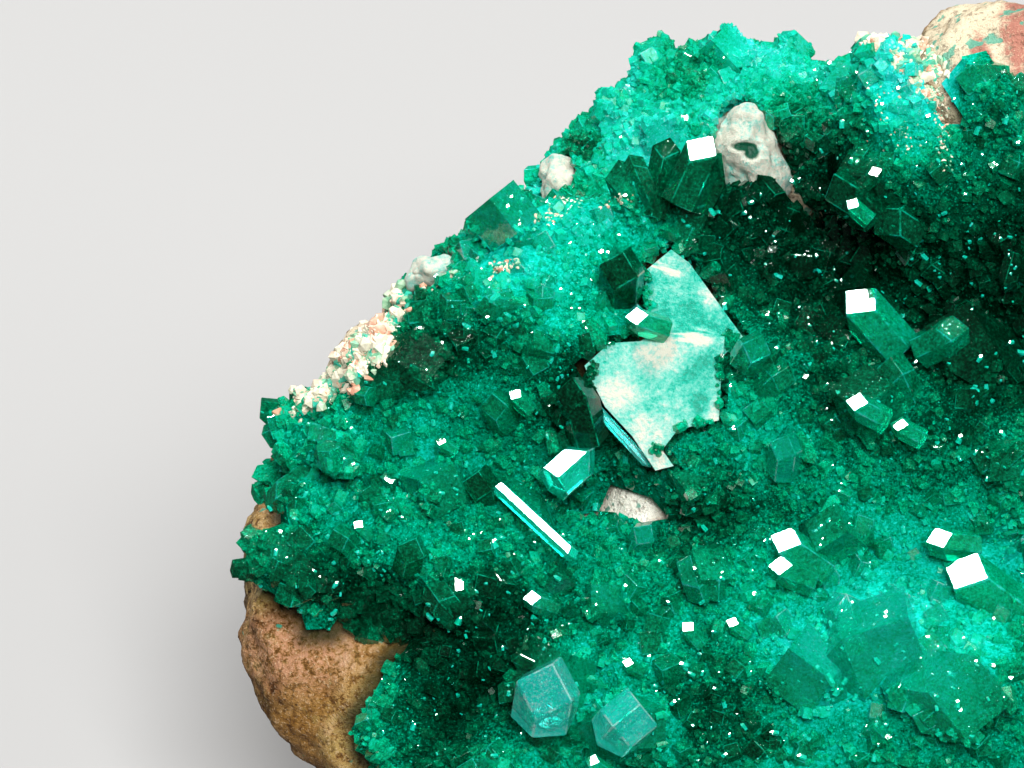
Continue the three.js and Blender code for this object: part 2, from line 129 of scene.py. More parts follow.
class Finish:
    """A material with one Principled shader, whose nodes all come from the node method."""

    def __init__(self, name):
        self.material = bpy.data.materials.new(name)
        self.material.use_nodes = True
        self.tree = self.material.node_tree
        self.shader = self.tree.nodes["Principled BSDF"]
        self.object_place = self.node("ShaderNodeTexCoord", {}, {}, "Object")

    def feed(self, target, values):
        """Sets or links a node's sockets."""
        for socket, value in values.items():
            if isinstance(value, Channel):
                self.tree.links.new(value.socket, target.inputs[socket])
            else:
                target.inputs[socket].default_value = value

    def node(self, kind, settings, inputs, output=0):
        """Adds a node of this kind: its settings first, and then its sockets' values and links."""
        made = self.tree.nodes.new(kind)
        for name, value in settings.items():
            if name == "stops":
                ramp = made.color_ramp
                while len(ramp.elements) < len(value):
                    ramp.elements.new(0.5)
                for element, (position, color) in zip(ramp.elements, value):
                    element.position, element.color = position, (*color, 1)
            else:
                setattr(made, name, value)
        self.feed(made, inputs)
        return Channel(self, made.outputs[output])

    def math(self, operation, *values):
        return self.node("ShaderNodeMath", {"operation": operation}, dict(enumerate(values)))

    def noise(self, scale, detail, roughness):
        """Soft noise. The scale is how many swells it has in a metre."""
        inputs = {"Vector": self.object_place, "Scale": scale, "Detail": detail, "Roughness": roughness}
        return self.node("ShaderNodeTexNoise", {}, inputs)

    def step(self, value, low, high):
        """Rises smoothly from 0 at low to 1 at high."""
        inputs = {"Value": value, "From Min": low, "From Max": high}
        return self.node("ShaderNodeMapRange", {"interpolation_type": "SMOOTHSTEP"}, inputs)

    def mix(self, share, first, second):
        return self.node("ShaderNodeMix", {"data_type": "RGBA"}, {0: share, 6: first, 7: second}, 2)

    def bump(self, height, distance, strength):
        inputs = {"Height": height, "Distance": distance, "Strength": strength}
        return self.node("ShaderNodeBump", {}, inputs)

    def attribute(self, name):
        return self.node("ShaderNodeAttribute", {"attribute_name": name}, {}, "Fac")

    def ramp(self, value, stops):
        return self.node("ShaderNodeValToRGB", {"stops": stops}, {0: value})


def only(piece):
    """Selects one piece alone and makes it active."""
    bpy.ops.object.select_all(action="DESELECT")
    piece.select_set(True)
    bpy.context.view_layer.objects.active = piece


def copy_of(node, name):
    """A separate piece with a node's shape, its loose triangles merged."""
    piece = bpy.data.objects.new(name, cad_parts[node].data.copy())
    bpy.context.collection.objects.link(piece)
    only(piece)
    bpy.ops.object.mode_set(mode="EDIT")
    bpy.ops.mesh.select_all(action="SELECT")
    bpy.ops.mesh.remove_doubles(threshold=0.0005 * MM)
    bpy.ops.object.mode_set(mode="OBJECT")
    piece.data.materials.clear()
    return piece


def finish_with(piece, kind, name, **settings):
    """Adds a modifier to a piece and applies it."""
    only(piece)
    modifier = piece.modifiers.new(name, kind)
    for setting, value in settings.items():
        setattr(modifier, setting, value)
    bpy.ops.object.modifier_apply(modifier=modifier.name)


def points_of(piece):
    """The places of a piece's points."""
    points = np.empty(len(piece.data.vertices) * 3, dtype=np.float32)
    piece.data.vertices.foreach_get("co", points)
    return points.reshape(-1, 3)


def place_points(piece, points):
    """Moves a piece's points to these places."""
    piece.data.vertices.foreach_set("co", np.asarray(points, dtype=np.float32).ravel())
    piece.data.update()


def surface_of(piece):
    """A search tree over a piece's faces."""
    mesh = piece.data
    faces = [tuple(face.vertices) for face in mesh.polygons]
    return BVHTree.FromPolygons([vertex.co for vertex in mesh.vertices], faces)


rock = copy_of("matrix", "rock")
finish_with(rock, "REMESH", "even", mode="VOXEL", voxel_size=ROCK_VOXEL)
finish_with(rock, "SMOOTH", "worn", iterations=5, factor=0.5)
crusts = [surface_of(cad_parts[node]) for node in ("dioptase_druse", "dioptase_ridge")]
bare = rock.vertex_groups.new(name="bare")
for vertex in rock.data.vertices:
    inside = vertex.co - vertex.normal * UNDER_CRUST
    is_under = any(crust.ray_cast(inside, vertex.normal, 2 * UNDER_CRUST)[0] for crust in crusts)
    bare.add([vertex.index], 0 if is_under else min(vertex.co.z / BASE_FADE, 1), "REPLACE")
for name, width, depth in ROCK_SWELLS:
    texture = bpy.data.textures.new(name, "CLOUDS")
    texture.noise_scale, texture.noise_depth = width, 2
    finish_with(
        rock, "DISPLACE", name, texture=texture, texture_coords="LOCAL", strength=2 * depth,
        mid_level=0.5, vertex_group="bare",
    )
points = points_of(rock)
points[:, 2] = np.maximum(points[:, 2], 0)
place_points(rock, points)
only(rock)
bpy.ops.object.shade_smooth()


def display_place(points):
    """Where points lie on the display face, in millimetres across and up."""
    offsets = (np.asarray(points) - np.array(display_middle)) / MM
    return offsets @ np.array(ACROSS), offsets @ np.array(UP)


def share_in(points, patches):
    """How far points lie inside patches of the display face, from 0 outside them to 1."""
    across, up = display_place(points)
    share = np.zeros(len(points))
    for middle_across, middle_up, wide, high in patches:
        distance = np.hypot((across - middle_across) / wide, (up - middle_up) / high)
        share = np.maximum(share, np.clip(PATCH_EDGE - distance, 0, 1))
    return share


def keep_values(piece, name, values):
    """Keeps a value for each point of a piece, for its finish to read."""
    attribute = piece.data.attributes.new(name, "FLOAT", "POINT")
    attribute.data.foreach_set("value", np.asarray(values, dtype=np.float32))


stains = {
    "cream": CREAM_STAINS, "yellow": YELLOW_STAINS, "pink": PINK_STAINS, "red": RED_STAINS,
    "white": WHITE_STAINS,
}
facing = np.array([vertex.normal.dot(OUT) for vertex in rock.data.vertices])
facing = np.clip(0.4 + 1.6 * facing, 0, 1)
for name, patches in stains.items():
    keep_values(rock, name, share_in(points_of(rock), patches) * facing)
# Painted shade: rock close to the crust is darkened, fading out over the reach.
reaches = [crusts[0].find_nearest(vertex.co, PAINTED_SHADE_REACH)[3] for vertex in rock.data.vertices]
keep_values(rock, "grime", [0 if reach is None else 1 - reach / PAINTED_SHADE_REACH for reach in reaches])

stone = Finish("dolomite")
blotch = stone.noise(260, 5, 0.65)
stain = stone.noise(900, 5, 0.7)
grain = stone.noise(3200, 4, 0.75)
speck = stone.noise(8000, 2, 0.6)
body = stone.ramp(blotch * 0.5 + stain * 0.25 + grain * 0.25, ROCK_BROWNS)
olive = stone.step(stone.noise(420, 5, 0.75), 0.50, 0.60)
body = stone.mix(olive * 0.5, body, OLIVE)
body = stone.mix(stone.attribute("pink") * stone.step(grain, 0.40, 0.60) * 0.7, body, PINK)
body = stone.mix(stone.attribute("yellow") * stone.step(grain, 0.38, 0.58) * 0.7, body, OCHRE)
cream = stone.step(stone.attribute("cream") + (stain - 0.5) * 1.2, 0.25, 0.7)
rose = stone.step(stone.attribute("red") + (stain - 0.5) * 1.8 + (grain - 0.5) * 1.4, 0.3, 0.9)
body = stone.mix(cream * 0.95, body, stone.mix(rose * 0.85, CREAM, ROSE))
body = stone.mix(stone.attribute("white") * 0.85, body, CHALK)
pale = stone.step(speck, 0.56, 0.70)
body = stone.mix(pale * 0.5, body, PALE_FLECK)
dark = stone.step(0.95 - grain, 0.46, 0.58)
body = stone.mix(dark * 0.6, body, DARK_FLECK)
teal = stone.step(stone.noise(1100, 2, 0.5) + cream * 0.1, 0.69, 0.73)
body = stone.mix(teal * 0.8, body, TEAL_FLECK)
# Painted shade darkens the rock under the crust's edge, broken up by the grain.
grime = stone.attribute("grime") * (1 - stone.attribute("cream")) + (grain - 0.5) * 0.5
body = stone.mix(stone.step(grime, 0.1, 0.75) * 0.9, body, PAINTED_SHADE)
relief = stone.bump(grain + speck * 0.6, 0.16 * MM, 1.0)
stone.feed(stone.shader, {"Base Color": body, "Roughness": 0.8 - pale * 0.45, "Normal": relief})
rock.data.materials.append(stone.material)
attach(rock, "root")
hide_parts("matrix")

# ---- Main crust -------------------------------------------------------------------------------------
# The crust is dioptase, a glassy green copper silicate. Its short six-sided prisms end in three square
# faces, like a cube's corner. They grew side by side on the rock, in many sizes, until they met.

CRYSTAL_STAND = 2.15 * MM  # what stands further over the rock is a crystal

MAIN_TINT, TINT_DRIFT, DRIFTS_PER_METRE = 0.35, 0.16, 330
# The middle and radii of each patch of the display face, and how much paler its crystals are. Some
# patches are painted light and shade: the darker ones in the hollow under the crust's front and in the
# trench before the ridge stand in for shade, and one paler patch for light shining through from behind.
TINTS_AND_PAINTED_LIGHT = [
    (2.2, 6.0, 4.5, 3.0, 0.22), (17.5, 5.1, 7, 5.5, -0.3), (12.5, 6.9, 4, 2.6, -0.25),
    (-3.2, 1.3, 4.5, 1.3, -0.18), (3, -1, 1.5, 2, -0.3), (5, 5, 1.2, 1.5, -0.3),
    (-1.2, -11.8, 2.6, 3.2, -0.36), (-3.7, -14.2, 1.6, 3, -0.2), (-6.8, -3.4, 5, 3, 0.07),
    (-9, -8.8, 3, 1.6, -0.18), (-5.7, -10.2, 2, 1.4, -0.2), (9.4, -5.7, 3, 2.4, -0.1),
    (9.1, -15, 2.6, 2.6, -0.2), (15.2, -10.6, 5, 4, 0.2), (1.7, -13.1, 1.6, 1.4, 0.3),
    (5.4, -14.8, 1.4, 1.1, 0.3), (21, -6.6, 3, 3, 0.1), (22, 2, 3, 5, -0.16),
    (17.7, 13.7, 2.4, 4.5, 0.33), (7.1, 9.2, 2.4, 2.2, -0.2),
]


def tint_at(points, chance, spread=0.03):
    """The tints of crystals in these places: the patch's, partly painted light and shade, a slow drift
    and a little chance.
    """
    across, up = display_place(points)
    tints = np.full(len(points), MAIN_TINT)
    for middle_across, middle_up, wide, high, change in TINTS_AND_PAINTED_LIGHT:
        distance = np.hypot((across - middle_across) / wide, (up - middle_up) / high)
        tints += change * np.clip(PATCH_EDGE - distance, 0, 1)
    drift = TINT_DRIFT * np.array([noise.noise(Vector(p) * DRIFTS_PER_METRE) for p in points])
    return np.clip(tints + drift + chance.normal(0, spread, len(points)), 0, 1)


rock_surface = surface_of(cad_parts["matrix"])
druse_bed = copy_of("dioptase_druse", "druse_bed")
chance = np.random.default_rng(11)
keep_values(druse_bed, "tint", tint_at(points_of(druse_bed), chance, 0.02))

# The greens of the clear crystals and of the bed under them, by tint.
GLASS_GREENS = [
    (0.0, (0.0, 0.03, 0.011)), (0.22, (0.0, 0.17, 0.068)), (0.42, (0.0, 0.53, 0.245)),
    (0.62, (0.004, 0.76, 0.52)), (0.82, (0.03, 0.86, 0.78)), (1.0, (0.5, 0.95, 0.92)),
]
BED_GREENS = [
    (0.0, (0.0, 0.004, 0.0015)), (0.22, (0.0, 0.032, 0.014)), (0.42, (0.0, 0.18, 0.093)),
    (0.62, (0.002, 0.36, 0.285)), (0.82, (0.02, 0.47, 0.45)), (1.0, (0.3, 0.6, 0.56)),
]
DIOPTASE_IOR = 1.68


def green_glass(name, greens, transmission, roughness, sparkle, shine=0.5, uneven=0.4):
    """Dioptase, from nearly black through emerald to mint as the tint rises. Sparkle is the depth of
    its pits, shine its specular level, and uneven the depth of its slow relief."""
    glass = Finish(name)
    cloud = glass.noise(1100, 3, 0.6)
    flaws = glass.noise(6500, 3, 0.75)
    specks = glass.step(glass.noise(11000, 2, 0.6), 0.60, 0.67)
    # Worn edge faces are painted paler: a painted highlight along each crystal's edges.
    tint = glass.attribute("tint") + glass.attribute("edge") * glass.step(cloud, 0.4, 0.6) * 0.34
    tint = tint + (cloud - 0.5) * 0.35 + (flaws - 0.5) * 0.8 + specks * 0.2
    colour = glass.ramp(tint, greens)
    pits = glass.step(glass.noise(8000, 1, 0.5), 0.60, 0.66)
    relief = glass.bump(pits * sparkle + glass.noise(2200, 3, 0.5) * uneven, 0.03 * MM, 0.7)
    glass.feed(glass.shader, {
        "Base Color": colour, "Roughness": roughness, "IOR": DIOPTASE_IOR,
        "Transmission Weight": transmission, "Specular IOR Level": shine, "Normal": relief,
    })
    return glass


def finish_crust(piece, glass, node="dioptase_druse"):
    """Gives a piece its glass and its place in the crust that the node stands for."""
    piece.data.materials.append(glass.material)
    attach(piece, "root")
    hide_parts(node)


large_green = green_glass(
    "dioptase_large", GLASS_GREENS, transmission=0.75, roughness=0.045, sparkle=0.6,
)
fine_green = green_glass(
    "dioptase_fine", GLASS_GREENS, transmission=0.55, roughness=0.08, sparkle=0.6,
)
bed_green = green_glass(
    "dioptase_bed", BED_GREENS, transmission=0.0, roughness=0.5, sparkle=0.6, shine=0.0,
)
finish_crust(druse_bed, bed_green)
druse_bed.data.materials.append(large_green.material)
for face in druse_bed.data.polygons:
    face.material_index = int(rock_surface.find_nearest(face.center)[3] > CRYSTAL_STAND)

# ---- Single crystals --------------------------------------------------------------------------------
# Some crystals stand clear of the crust that they root in. A few of them happen to be turned so that
# one square tip face, or one long side, mirrors the key light to the eye.

TIP_SLOPE = np.arccos(1 / 3 ** 0.5)  # between a tip face's normal and the crystal's axis
BAR_ENDS = 1.5  # crystal widths from the tip to the root of the pattern crystal
ROOT_RING = -BAR_ENDS + 0.1  # the corners below this are the root's
EDGE_WEAR = 0.022  # in crystal widths
WORN_AREA = 0.06  # a face smaller than this, in square widths, is a worn edge
# In crystal widths: a square face's side, how far its middle is below the tip and off the axis, and how
# far a long side is off the axis.
SQUARE_SIDE, SQUARE_DROP, SQUARE_REACH, SIDE_REACH = 0.612, 0.354, 0.25, 0.433

KEY_PLACE = display_middle + Vector((-0.10, 0.24, 0.43)) * 0.9
FIRST_TURN = -0.8  # added to every bright tip's turn, in radians
BRIGHT_LENGTH = 1.7  # in crystal widths
SIDE_SUNK = 0.5  # how far a crystal with a bright side goes on into the crust, in its widths
STANDING_ROOT = 0.25  # how far a standing crystal goes on into the crust, in its lengths
TIP_TINT, ROOTED_TINT, SIDE_TINT = 0.4, 0.2, 0.6

# Across and up on the display face, the square face's side in millimetres, its turn in degrees, and
# how far it stands out.
BRIGHT_TIPS = [
    (15.66, 3.74, 1.35, 0, 2.9), (15.5, -0.8, 0.75, 30, 0.7), (12.3, -7.0, 1.1, 20, 1.1),
    (12.05, -8.15, 0.8, 40, 1.35), (20.4, -8.4, 1.6, 15, 1.2), (19.2, -6.9, 0.9, 60, 1.5),
    (0.9, -9.6, 0.6, 45, 0.6), (7.9, -10.9, 0.5, 0, 0.6), (9.9, -10.7, 0.45, 20, 0.6),
    (5.6, 3.05, 0.75, 45, 1.7), (0.15, -0.45, 0.5, 10, 0.6), (-3.2, -2.55, 0.4, 30, 1.1),
    (15.3, 8.1, 0.5, 10, 2.3), (17.4, -1.8, 0.6, 30, 1.2), (3.6, -16.9, 0.5, 20, 1.5),
    (-6.9, -6.3, 0.4, 10, 0.6), (5.2, -12.5, 0.4, 30, 0.6),
]
BRIGHT_ROOT = (7.6, 8.0, 1.25, -83)  # the same, but across and up are those of its root
# Across and up at both ends, the side's width in millimetres, and how far it stands out.
BRIGHT_SIDES = [(-0.4, -4.7, 2.75, -7.55, 0.36, 0.9), (2.4, -3.4, 3.6, -2.35, 0.95, 2)]

# The other crystals that stand clear: across and up of the root and of the tip, how much further out
# the tip is than the root, the width in millimetres, the turn in degrees, and the tint.
STANDING = [
    (6.3, 8.0, 5.25, 10.3, 0.6, 1.2, 20, 0.24), (6.5, 8.2, 7.1, 11.1, 0.0, 1.5, 5, 0.16),
    (4.9, 4.4, 4.95, 5.9, 1.8, 2.1, 10, 0.12), (12.2, -3.6, 12.3, -2.3, 1.6, 1.5, 0, 0.55),
    (5.6, 2.7, 5.6, 3.4, 1.2, 0.8, 30, 0.75), (3.3, -1.9, 2.7, 0.3, 1.4, 1.9, 0, 0.06),
    (-1.3, -4.9, -1.5, -3.9, 1.4, 1.7, 10, 0.16), (10.6, 1.2, 11.2, 2.2, 1.1, 1.6, 25, 0.4),
    (11.6, 0.0, 12.4, 0.8, 1.1, 1.5, 5, 0.34), (18.8, 1.7, 20.4, 2.5, 1.2, 1.7, 15, 0.32),
    (17.6, -0.2, 16.9, 1.2, 1.5, 1.6, 0, 0.3), (-7.3, -7.3, -8.0, -6.5, 1.0, 1.3, 0, 0.3),
    (-4.6, -8.0, -4.3, -6.9, 1.2, 1.5, 10, 0.22), (-0.4, -1.5, -0.9, -0.4, 1.2, 1.5, 20, 0.3),
    (5.7, -7.1, 6.2, -6.3, 1.2, 1.3, 0, 0.5), (15.8, 8.0, 14.4, 9.4, 1.2, 2.2, 10, 0.12),
    (17.7, 7.0, 16.2, 7.9, 1.0, 2.0, 30, 0.16), (1.5, -14.4, 1.8, -12.5, 2.0, 3.0, 10, 0.8),
    (4.9, -15.4, 5.7, -14.3, 1.8, 2.5, 25, 0.75), (3.8, -1.1, 6.2, -3.7, 0.3, 0.45, 0, 0.8),
]


def model_crystal(wear):
    """Models one crystal, a unit wide with its tip at the origin. Gives its corners, its faces and
    which of them are worn edges, which the glass paints paler as a highlight."""
    bpy.ops.object.select_all(action="DESELECT")
    bpy.ops.mesh.primitive_cylinder_add(vertices=6, radius=0.5, depth=2 * BAR_ENDS)
    crystal = bpy.context.object
    bpy.ops.object.mode_set(mode="EDIT")
    for turn in (0.25, 0.25 + 1 / 3, 0.25 + 2 / 3):  # in whole turns
        level = (sin(TIP_SLOPE) * cos(turn * 2 * pi), sin(TIP_SLOPE) * sin(turn * 2 * pi))
        bpy.ops.mesh.select_all(action="SELECT")
        bpy.ops.mesh.bisect(
            plane_co=(0, 0, 0), plane_no=(*level, cos(TIP_SLOPE)), use_fill=True, clear_outer=True,
        )
    bpy.ops.mesh.select_all(action="DESELECT")
    bpy.ops.object.mode_set(mode="OBJECT")
    if wear:
        for edge in crystal.data.edges:
            edge.select = any(crystal.data.vertices[v].co.z > ROOT_RING for v in edge.vertices)
        bpy.ops.object.mode_set(mode="EDIT")
        bpy.ops.mesh.select_mode(type="EDGE")
        bpy.ops.mesh.bevel(offset=wear, segments=1, affect="EDGES")
        bpy.ops.object.mode_set(mode="OBJECT")
    corners = points_of(crystal).astype(float)
    faces = [tuple(face.vertices) for face in crystal.data.polygons]
    edge_highlights = [face.area < WORN_AREA for face in crystal.data.polygons]
    bpy.data.objects.remove(crystal)
    return corners, faces, edge_highlights


WORN_CRYSTAL = model_crystal(EDGE_WEAR)


def unit(vectors):
    """The same directions, each of length 1."""
    return vectors / np.linalg.norm(vectors, axis=-1, keepdims=True)


def turned_about(axes, spins):
    """A direction square to each axis, turned about it by its spin."""
    helper = np.where(np.abs(axes[:, 2:3]) < 0.9, [[0.0, 0.0, 1.0]], [[1.0, 0.0, 0.0]])
    first = unit(np.cross(helper, axes))
    return first * np.cos(spins)[:, None] + np.cross(axes, first) * np.sin(spins)[:, None]


def grow(name, pattern, roots, axes, sides, widths, lengths, tints):
    """Copies of the pattern crystal in one piece, each rooted in its place and turned to its axis."""
    corners, faces, edge_highlights = pattern
    fronts = np.cross(axes, sides)
    x, y, z = corners.T
    from_root = (z + BAR_ENDS)[None, :] * widths[:, None]
    from_tip = lengths[:, None] + z[None, :] * widths[:, None]
    rise = np.where(z < ROOT_RING, from_root, from_tip)
    points = (
        roots[:, None, :]
        + sides[:, None, :] * (x[None, :] * widths[:, None])[:, :, None]
        + fronts[:, None, :] * (y[None, :] * widths[:, None])[:, :, None]
        + axes[:, None, :] * rise[:, :, None]
    )
    count, step = len(roots), len(corners)
    mesh = bpy.data.meshes.new(name)
    all_faces = [tuple(i * step + corner for corner in face) for i in range(count) for face in faces]
    mesh.from_pydata(points.reshape(-1, 3).tolist(), [], all_faces)
    piece = bpy.data.objects.new(name, mesh)
    bpy.context.collection.objects.link(piece)
    keep_values(piece, "tint", np.repeat(tints, step))
    # The worn edge faces are kept so that the glass can paint them paler, as a painted highlight.
    edges = mesh.attributes.new("edge", "FLOAT", "FACE")
    edges.data.foreach_set("value", np.tile(edge_highlights, count).astype(np.float32))
    return piece


crust_surface = surface_of(druse_bed)


def on_crust(across, up):
    """The place where a line of sight through the display face meets the crust."""
    start = display_middle + (ACROSS * across + UP * up) * MM
    sight = (start - camera.location).normalized()
    return crust_surface.ray_cast(camera.location, sight)[0], sight


def half_way(place, sight):
    """The normal of a face that mirrors the key light from its place to the eye."""
    return ((KEY_PLACE - place).normalized() - sight).normalized()


def with_bright_tip(place, normal, side, turn):
    """A crystal whose square tip face of this side lies in this place, with this normal."""
    level = (ACROSS - normal * ACROSS.dot(normal)).normalized()
    away = level * cos(turn) + normal.cross(level) * sin(turn)
    axis = normal * cos(TIP_SLOPE) - away * sin(TIP_SLOPE)
    front = (normal - axis * cos(TIP_SLOPE)) / sin(TIP_SLOPE)
    width = side / SQUARE_SIDE
    length = width * BRIGHT_LENGTH
    middle = axis * (length - SQUARE_DROP * width) + front * SQUARE_REACH * width
    return place - middle, axis, front.cross(axis), width, length


def grow_shapes(name, pattern, shapes):
    """Copies of the pattern crystal in one piece, from a list of shapes."""
    columns = ([tuple(v) if isinstance(v, Vector) else v for v in column] for column in zip(*shapes))
    return grow(name, pattern, *(np.array(column) for column in columns))


shapes = []
for across, up, side, turn, out in BRIGHT_TIPS:
    place, sight = on_crust(across, up)
    normal = half_way(place, sight)
    raised = place - sight * out * MM
    turn = radians(turn) + FIRST_TURN
    shapes.append((*with_bright_tip(raised, normal, side * MM, turn), TIP_TINT))
across, up, side, turn = BRIGHT_ROOT
root, sight = on_crust(across, up)
turn = radians(turn) + FIRST_TURN
_, *shape = with_bright_tip(root, half_way(root, sight), side * MM, turn)
shapes.append((root, *shape, ROOTED_TINT))
for across, up, to_across, to_up, side, out in BRIGHT_SIDES:
    place, sight = on_crust(across, up)
    normal = half_way(place, sight)
    run = ACROSS * (to_across - across) + UP * (to_up - up)
    axis = (run - OUT * run.dot(normal) / OUT.dot(normal)) * MM
    width = side * MM * 2  # a prism is twice as wide as one of its sides
    edge = place - sight * out * MM - normal * SIDE_REACH * width
    root, length = edge - axis.normalized() * SIDE_SUNK * width, axis.length + SIDE_SUNK * width
    shapes.append((root, axis.normalized(), normal, width, length, SIDE_TINT))
for across, up, to_across, to_up, out, width, turn, tint in STANDING:
    root, sight = on_crust(across, up)
    axis = (ACROSS * (to_across - across) + UP * (to_up - up) + OUT * out) * MM
    root, axis = root - axis * STANDING_ROOT, axis * (1 + STANDING_ROOT)
    side = Vector(turned_about(np.array(axis.normalized())[None], np.array([radians(turn)]))[0])
    shapes.append((root, axis.normalized(), side, width * MM, axis.length, tint))
druse_bright = grow_shapes("druse_bright", WORN_CRYSTAL, shapes)
mirror_green = green_glass(
    "dioptase_mirror", GLASS_GREENS, transmission=0.75, roughness=0.05, sparkle=0.1, uneven=0.1,
)
finish_crust(druse_bright, mirror_green)

# ---- Scattered crystals -----------------------------------------------------------------------------
# The rest of the crust is a jumble of crystals in every size down to sugary grains, rooted in its bed.
# They leave the single crystals clear, and here and there a tiny face glints.

# How far round a bright face, in its sides, and round a standing crystal's tip, in its widths, no other
# crystal grows, and how far such a clearing keeps off a crystal, in that crystal's widths.
BRIGHT_CLEAR, STANDING_CLEAR, KEPT_OFF = 0.7, 0.3, 0.6
# Across and up of places that stay clear, and how far round them.
CLEARINGS = [(across, up, BRIGHT_CLEAR * side) for across, up, side, _, _ in BRIGHT_TIPS]
for across, up, to_across, to_up, side, _ in BRIGHT_SIDES:
    for share in np.linspace(0, 1, 8):
        place = (across + (to_across - across) * share, up + (to_up - up) * share)
        CLEARINGS.append((*place, BRIGHT_CLEAR * side))
CLEARINGS += [(across, up, STANDING_CLEAR * width) for _, _, across, up, _, width, _, _ in STANDING]
CLEARINGS += [(5.3, 9.5, 0.9), (6.9, 10.4, 0.9), (8.5, 9.8, 1.3), (7.4, 8.9, 1), (6.3, 8.6, 0.8)]

# Patches of the display face where crystals creep over the bare rock or the calcite: the middle and
# radii of each, how many, and the widest of them in millimetres.
CREEPING = [
    (-5.7, -10.2, 1.9, 1.3, 170, 1.05), (-10.9, -3.9, 0.8, 1.8, 80, 1.05),
    (-11.6, -7.6, 0.5, 1.2, 30, 1.05), (9.45, -0.2, 0.25, 1.5, 60, 0.5),
    (8.4, -1.9, 1.0, 0.25, 50, 0.5), (9.9, 1.9, 0.5, 0.4, 30, 0.5), (9.3, 4.2, 0.25, 0.5, 16, 0.35),
    (4.6, 2.0, 0.9, 0.2, 40, 0.4), (3.6, 0.4, 0.2, 0.6, 24, 0.4), (6.1, 3.6, 0.3, 0.9, 30, 0.45),
    (6.5, -2.9, 0.3, 0.4, 12, 0.4),
]
LEAST_STAND, MOST_STAND = 0.62 * MM, 2.25 * MM  # small crystals root this far over the rock
CREEPING_LEAN, CREEPING_SUNK, CREEPING_LENGTH = 0.4, 0.6, 1.5  # the last two in crystal widths
GLINTS, GLINT_TINT = 900, 0.6
GLINTS_ACROSS, GLINTS_UP = (-12, 23), (-17, 15)
LEAST_GLINT, GLINT_SPREAD = 0.05, 0.11  # the least side of a glint's face and what others add to it
GLINT_LIFT = 0.4  # how far its face stands out, in its sides
GLINT_STRAY = 0.045  # how far a glint's face strays from the mirror's angle


class Bed:
    """The part of a crust's surface on which small crystals root."""

    def __init__(self, piece):
        mesh = piece.data
        mesh.calc_loop_triangles()
        corners = np.array([[mesh.vertices[v].co for v in t.vertices] for t in mesh.loop_triangles])
        stands = np.array([rock_surface.find_nearest(Vector(m))[3] for m in corners.mean(axis=1)])
        self.corners = corners[(stands > LEAST_STAND) & (stands < MOST_STAND)]
        first, second, third = (self.corners[:, i] for i in range(3))
        cross = np.cross(second - first, third - first)
        areas = np.linalg.norm(cross, axis=1) / 2
        self.normals = cross / (2 * areas[:, None] + 1e-20)
        self.shares = areas / areas.sum()

    def scatter(self, chance, count):
        """Places spread evenly over the bed, and the directions out of it there."""
        faces = chance.choice(len(self.shares), count, p=self.shares)
        a, b = chance.random(count), chance.random(count)
        flip = a + b > 1
        a[flip], b[flip] = 1 - a[flip], 1 - b[flip]
        base, one, two = (self.corners[faces, i] for i in range(3))
        return base + (one - base) * a[:, None] + (two - base) * b[:, None], self.normals[faces]


def crystals_on(
    bed, name, count, pattern, chance, widths, sunk, lean, stretch, tint=tint_at, change=0,
):
    """A layer of crystals that root in a bed. Widths and stretch give the least and most width in
    millimetres and length in widths, and sunk is the share of the length that is under the surface."""
    places, normals = bed.scatter(chance, count)
    leans = unit(chance.normal(0, 1, (count, 3)))
    axes = unit(normals + leans * lean * chance.random((count, 1)) ** 0.7)
    width = (widths[0] + (widths[1] - widths[0]) * chance.random(count) ** 2) * MM
    length = width * chance.uniform(*stretch, count)
    roots = places - axes * (length * sunk)[:, None]
    sides = turned_about(axes, chance.uniform(0, pi, count))
    tints = np.clip(tint(places, chance) + change, 0, 1)
    across, up = display_place(places)
    is_kept = np.ones(count, dtype=bool)
    for middle_across, middle_up, radius in CLEARINGS:
        distance = np.hypot(across - middle_across, up - middle_up)
        is_kept &= distance > radius + KEPT_OFF * width / MM
    parts = (part[is_kept] for part in (roots, axes, sides, width, length, tints))
    return grow(name, pattern, *parts)


def seen_place(seats, across, up):
    """What a line of sight through the display face first meets of some surfaces, and its direction."""
    target = display_middle + (ACROSS * across + UP * up) * MM
    sight = (target - camera.location).normalized()
    hits = [seat.ray_cast(camera.location, sight) for seat in seats]
    hits = [hit for hit in hits if hit[0] is not None]
    return min(hits, key=lambda hit: hit[3], default=None), sight


SHARP_CRYSTAL = model_crystal(0)
bed = Bed(druse_bed)
druse_medium = crystals_on(
    bed, "druse_medium", 1000, WORN_CRYSTAL, chance,
    widths=(0.8, 1.7), sunk=0.68, lean=0.7, stretch=(1.3, 1.9), change=-0.04,
)
finish_crust(druse_medium, large_green)
druse_small = crystals_on(
    bed, "druse_small", 5200, SHARP_CRYSTAL, chance,
    widths=(0.3, 0.8), sunk=0.66, lean=0.8, stretch=(1.2, 2.2),
)
finish_crust(druse_small, fine_green)
druse_fine = crystals_on(
    bed, "druse_fine", 8000, SHARP_CRYSTAL, chance,
    widths=(0.12, 0.34), sunk=0.5, lean=1.0, stretch=(1.1, 2.6), change=0.03,
)
finish_crust(druse_fine, fine_green)
druse_sugar = crystals_on(
    bed, "druse_sugar", 6000, SHARP_CRYSTAL, chance,
    widths=(0.06, 0.16), sunk=0.4, lean=1.0, stretch=(1.1, 1.8), change=0.1,
)
finish_crust(druse_sugar, fine_green)

